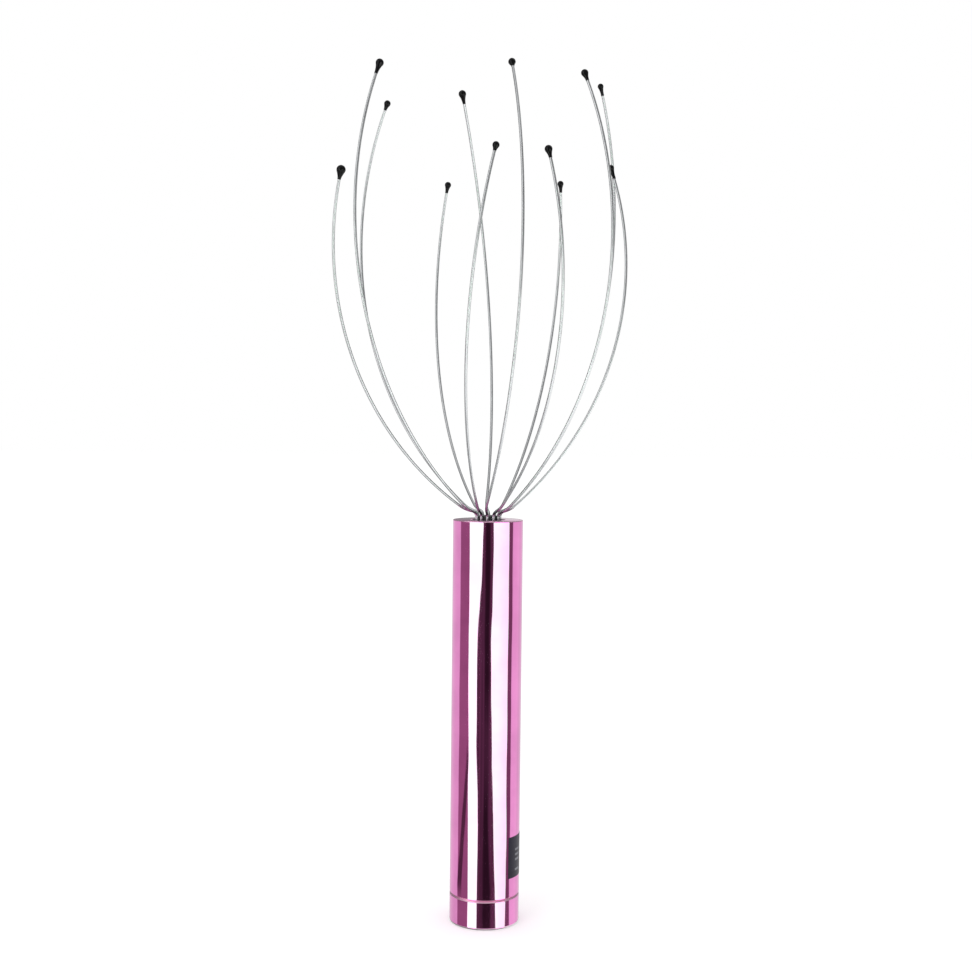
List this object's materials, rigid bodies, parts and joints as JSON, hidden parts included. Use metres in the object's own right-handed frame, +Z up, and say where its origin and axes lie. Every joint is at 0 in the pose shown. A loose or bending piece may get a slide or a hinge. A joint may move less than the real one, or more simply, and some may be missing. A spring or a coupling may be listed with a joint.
{
  "type": "electric scalp massager",
  "caption": "Slim round battery handle with a vibrating motor, and an open cage of sprung wire fingers with round drops on their ends, for massaging the scalp.",
  "frame": {"origin": "centre of the end cap's flat base, on the handle's axis, where the massager stands", "axes": "+Z up along the handle's axis towards the wire cage; -Y is the side with the plainest view of the wires; the small label patch lies to the right of it, towards +X"},
  "size_m": [0.0819, 0.0869, 0.2467],
  "materials": {
    "anodised_pink": "polished and anodised pink, mirror-like",
    "spring_steel": "bright drawn spring wire",
    "drop_black": "glossy black resin",
    "hub_black": "satin black moulding",
    "inner_white": "natural moulding",
    "motor_steel": "nickel-plated steel",
    "magnet_grey": "sintered ferrite",
    "contact_brass": "bright brass",
    "copper_wire": "enamelled copper",
    "board_green": "glass-fibre board",
    "lead_red": "insulated lead",
    "lead_black": "insulated lead",
    "cell_metal": "nickel-plated can",
    "cell_jacket": "shrink-wrapped plastic",
    "seal_rubber": "nitrile ring",
    "button_black": "satin black moulding",
    "switch_black": "moulded switch housing"
  },
  "bodies": {
    "handle": {"handle_tube": "anodised_pink", "top_cap": "anodised_pink", "wire_hub": "hub_black", "wire_shanks": "spring_steel", "motor_holder": "inner_white", "motor_can": "motor_steel", "motor_end_bell": "hub_black", "motor_bushes": "contact_brass", "motor_magnets": "magnet_grey", "motor_brushes": "contact_brass", "motor_terminals": "contact_brass", "contact_board": "board_green", "positive_contact": "contact_brass", "lead_positive": "lead_red", "lead_negative": "lead_black", "battery_sleeve": "inner_white", "contact_strip": "contact_brass"},
    "finger_01": {"wire_01": "spring_steel", "tip_01": "drop_black"},
    "finger_02": {"wire_02": "spring_steel", "tip_02": "drop_black"},
    "finger_03": {"wire_03": "spring_steel", "tip_03": "drop_black"},
    "finger_04": {"wire_04": "spring_steel", "tip_04": "drop_black"},
    "finger_05": {"wire_05": "spring_steel", "tip_05": "drop_black"},
    "finger_06": {"wire_06": "spring_steel", "tip_06": "drop_black"},
    "finger_07": {"wire_07": "spring_steel", "tip_07": "drop_black"},
    "finger_08": {"wire_08": "spring_steel", "tip_08": "drop_black"},
    "finger_09": {"wire_09": "spring_steel", "tip_09": "drop_black"},
    "finger_10": {"wire_10": "spring_steel", "tip_10": "drop_black"},
    "finger_11": {"wire_11": "spring_steel", "tip_11": "drop_black"},
    "finger_12": {"wire_12": "spring_steel", "tip_12": "drop_black"},
    "rotor": {"motor_shaft": "motor_steel", "rotor_core": "motor_steel", "rotor_windings": "copper_wire", "commutator": "copper_wire", "eccentric_weight": "contact_brass"},
    "battery": {"battery_cell": "cell_metal", "battery_jacket": "cell_jacket"},
    "end_cap": {"end_cap": "anodised_pink", "seal_ring": "seal_rubber", "negative_spring": "motor_steel", "retaining_ring": "contact_brass", "switch_board": "board_green", "switch_body": "switch_black"},
    "button": {"button": "button_black", "switch_plunger": "inner_white"}
  },
  "joints": [
    {"name": "finger_01_flex", "type": "hinge", "parent": "handle", "child": "finger_01", "pos_m": [0.00339, -0.00024, 0.116], "axis": [0.0523, 0.9986, 0], "range_deg": [-5, 20], "stiffness_Nm_per_rad": 0.108},
    {"name": "finger_02_flex", "type": "hinge", "parent": "handle", "child": "finger_02", "pos_m": [0.00306, 0.00149, 0.116], "axis": [-0.6428, 0.766, 0], "range_deg": [-5, 20], "stiffness_Nm_per_rad": 0.087},
    {"name": "finger_03_flex", "type": "hinge", "parent": "handle", "child": "finger_03", "pos_m": [0.0019, 0.00282, 0.116], "axis": [-0.8192, 0.5736, 0], "range_deg": [-5, 20], "stiffness_Nm_per_rad": 0.108},
    {"name": "finger_04_flex", "type": "hinge", "parent": "handle", "child": "finger_04", "pos_m": [0.00024, 0.00339, 0.116], "axis": [-0.9397, -0.342, 0], "range_deg": [-5, 20], "stiffness_Nm_per_rad": 0.087},
    {"name": "finger_05_flex", "type": "hinge", "parent": "handle", "child": "finger_05", "pos_m": [-0.00149, 0.00306, 0.116], "axis": [-0.7986, -0.6018, 0], "range_deg": [-5, 20], "stiffness_Nm_per_rad": 0.108},
    {"name": "finger_06_flex", "type": "hinge", "parent": "handle", "child": "finger_06", "pos_m": [-0.00282, 0.0019, 0.116], "axis": [-0.5299, -0.848, 0], "range_deg": [-5, 20], "stiffness_Nm_per_rad": 0.087},
    {"name": "finger_07_flex", "type": "hinge", "parent": "handle", "child": "finger_07", "pos_m": [-0.00339, 0.00024, 0.116], "axis": [0.1908, -0.9816, 0], "range_deg": [-5, 20], "stiffness_Nm_per_rad": 0.108},
    {"name": "finger_08_flex", "type": "hinge", "parent": "handle", "child": "finger_08", "pos_m": [-0.00306, -0.00149, 0.116], "axis": [0.6018, -0.7986, 0], "range_deg": [-5, 20], "stiffness_Nm_per_rad": 0.087},
    {"name": "finger_09_flex", "type": "hinge", "parent": "handle", "child": "finger_09", "pos_m": [-0.0019, -0.00282, 0.116], "axis": [0.9563, -0.2924, 0], "range_deg": [-5, 20], "stiffness_Nm_per_rad": 0.108},
    {"name": "finger_10_flex", "type": "hinge", "parent": "handle", "child": "finger_10", "pos_m": [-0.00024, -0.00339, 0.116], "axis": [0.9744, -0.225, 0], "range_deg": [-5, 20], "stiffness_Nm_per_rad": 0.087},
    {"name": "finger_11_flex", "type": "hinge", "parent": "handle", "child": "finger_11", "pos_m": [0.00149, -0.00306, 0.116], "axis": [0.8829, 0.4695, 0], "range_deg": [-5, 20], "stiffness_Nm_per_rad": 0.108},
    {"name": "finger_12_flex", "type": "hinge", "parent": "handle", "child": "finger_12", "pos_m": [0.00282, -0.0019, 0.116], "axis": [0.6561, 0.7547, 0], "range_deg": [-5, 20], "stiffness_Nm_per_rad": 0.087},
    {"name": "motor_spin", "type": "hinge", "parent": "handle", "child": "rotor", "pos_m": [0, 0, 0.0985], "axis": [0, 0, 1], "continuous": true},
    {"name": "cap_off", "type": "slide", "parent": "handle", "child": "end_cap", "axis": [0, 0, -1], "range_m": [0, 0.078]},
    {"name": "battery_out", "type": "slide", "parent": "handle", "child": "battery", "axis": [0, 0, -1], "range_m": [0, 0.0624]},
    {"name": "button_press", "type": "slide", "parent": "end_cap", "child": "button", "axis": [0, 0, 1], "range_m": [0, 0.0012], "stiffness_N_per_m": 1000}
  ],
  "couplings": [
    {"joint": "battery_out", "follows": "cap_off", "ratio": 0.8}
  ]
}
